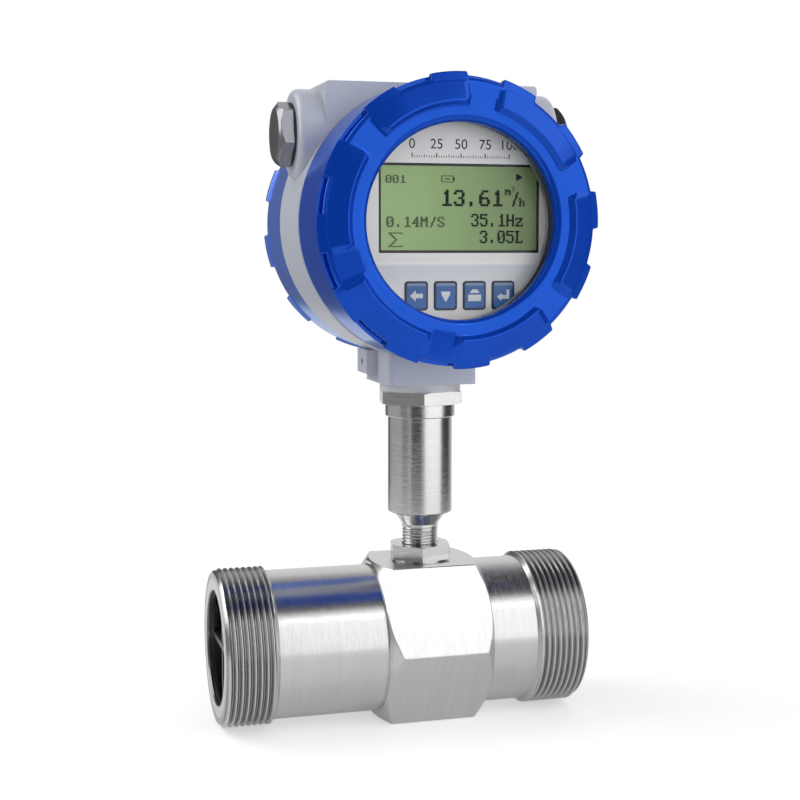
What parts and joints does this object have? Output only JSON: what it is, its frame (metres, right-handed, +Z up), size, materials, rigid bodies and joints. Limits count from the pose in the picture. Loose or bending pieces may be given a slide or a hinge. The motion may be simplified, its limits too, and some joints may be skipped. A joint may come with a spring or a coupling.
{
  "type": "turbine flow meter",
  "caption": "Turbine flow meter: a threaded flow tube with a bladed rotor, and a swivelling round display head with screw-on covers.",
  "frame": {"origin": "centre of the flow tube's inlet face", "axes": "+X along the tube in the direction of flow, +Z up the stem to the display head; the display looks along -Y"},
  "size_m": [0.14, 0.1078, 0.2409],
  "materials": {
    "stainless": "machined and polished stainless steel",
    "rotor_steel": "machined magnetic stainless steel",
    "carbide": "ground hard metal",
    "copper_winding": "enamelled copper winding",
    "magnet": "nickel-plated magnet",
    "circuit_board": "glass-fibre board with solder mask",
    "seal_rubber": "nitrile rubber",
    "grey_paint": "light grey powder coat on cast aluminium",
    "blue_paint": "gloss royal blue paint on cast aluminium",
    "plated_steel": "nickel-plated steel",
    "terminal_brass": "tinned brass",
    "window_glass": "clear toughened glass",
    "faceplate": "silver-white printed sheet",
    "black_plastic": "moulded plastic",
    "terminal_green": "moulded plastic",
    "lcd": "reflective liquid crystal screen",
    "key_blue": "silicone key with a printed face",
    "battery_wrap": "shrink sleeve"
  },
  "bodies": {
    "meter_run": {"meter_body": "stainless", "pickup_stem": "stainless", "pickup_lock_nut": "stainless", "head_lock_nut": "stainless", "pickup_washer": "stainless", "inlet_straightener": "stainless", "outlet_straightener": "stainless", "inlet_retaining_ring": "stainless", "outlet_retaining_ring": "stainless", "inlet_bearing": "carbide", "outlet_bearing": "carbide", "inlet_thrust_pad": "carbide", "outlet_thrust_pad": "carbide", "pickup_coil": "copper_winding", "pickup_magnet": "magnet", "pickup_core": "magnet", "preamp_board": "circuit_board", "neck_seal": "seal_rubber"},
    "rotor": {"turbine_rotor": "rotor_steel", "rotor_shaft": "carbide"},
    "head": {"housing": "grey_paint", "display_frame": "black_plastic", "frame_screws": "plated_steel", "display_board": "circuit_board", "board_screws": "plated_steel", "display_bezel": "faceplate", "lcd_panel": "lcd", "key_switches": "black_plastic", "battery": "battery_wrap", "battery_cradle": "black_plastic", "terminal_board": "circuit_board", "terminal_board_screws": "plated_steel", "terminal_block": "terminal_green", "terminal_screws": "terminal_brass", "left_plug": "plated_steel", "left_plug_seal": "seal_rubber", "right_plug": "plated_steel", "right_plug_seal": "seal_rubber", "earth_screw": "plated_steel"},
    "front_seal": {"front_cover_seal": "seal_rubber"},
    "front_lid": {"front_cover": "blue_paint", "window_glass": "window_glass", "window_seal": "seal_rubber", "window_retaining_ring": "plated_steel"},
    "rear_seal": {"rear_cover_seal": "seal_rubber"},
    "rear_lid": {"rear_cover": "blue_paint"},
    "key_left_cap": {"key_left": "key_blue"},
    "key_down_cap": {"key_down": "key_blue"},
    "key_up_cap": {"key_up": "key_blue"},
    "key_enter_cap": {"key_enter": "key_blue"}
  },
  "joints": [
    {"name": "rotor_spin", "type": "hinge", "parent": "meter_run", "child": "rotor", "pos_m": [0.0805, 0, 0], "axis": [1, 0, 0], "continuous": true},
    {"name": "head_swivel", "type": "hinge", "parent": "meter_run", "child": "head", "pos_m": [0.0805, 0, 0.0991], "axis": [0, 0, 1], "range_deg": [-175, 175]},
    {"name": "front_cover_travel", "type": "slide", "parent": "head", "child": "front_seal", "axis": [0, -1, 0], "range_m": [0, 0.00901]},
    {"name": "front_cover_turn", "type": "hinge", "parent": "front_seal", "child": "front_lid", "pos_m": [0.0805, -0.017, 0.1593], "axis": [0, -1, 0], "range_deg": [0, 1620]},
    {"name": "rear_cover_travel", "type": "slide", "parent": "head", "child": "rear_seal", "axis": [0, 1, 0], "range_m": [0, 0.00901]},
    {"name": "rear_cover_turn", "type": "hinge", "parent": "rear_seal", "child": "rear_lid", "pos_m": [0.0805, 0.017, 0.1593], "axis": [0, 1, 0], "range_deg": [0, 1620]},
    {"name": "key_left_press", "type": "slide", "parent": "head", "child": "key_left_cap", "axis": [0, 1, 0], "range_m": [0, 0.0006], "stiffness_N_per_m": 600},
    {"name": "key_down_press", "type": "slide", "parent": "head", "child": "key_down_cap", "axis": [0, 1, 0], "range_m": [0, 0.0006], "stiffness_N_per_m": 600},
    {"name": "key_up_press", "type": "slide", "parent": "head", "child": "key_up_cap", "axis": [0, 1, 0], "range_m": [0, 0.0006], "stiffness_N_per_m": 600},
    {"name": "key_enter_press", "type": "slide", "parent": "head", "child": "key_enter_cap", "axis": [0, 1, 0], "range_m": [0, 0.0006], "stiffness_N_per_m": 600}
  ],
  "couplings": [
    {"joint": "front_cover_travel", "follows": "front_cover_turn", "m_per_rad": 0.00031831},
    {"joint": "rear_cover_travel", "follows": "rear_cover_turn", "m_per_rad": 0.00031831}
  ]
}
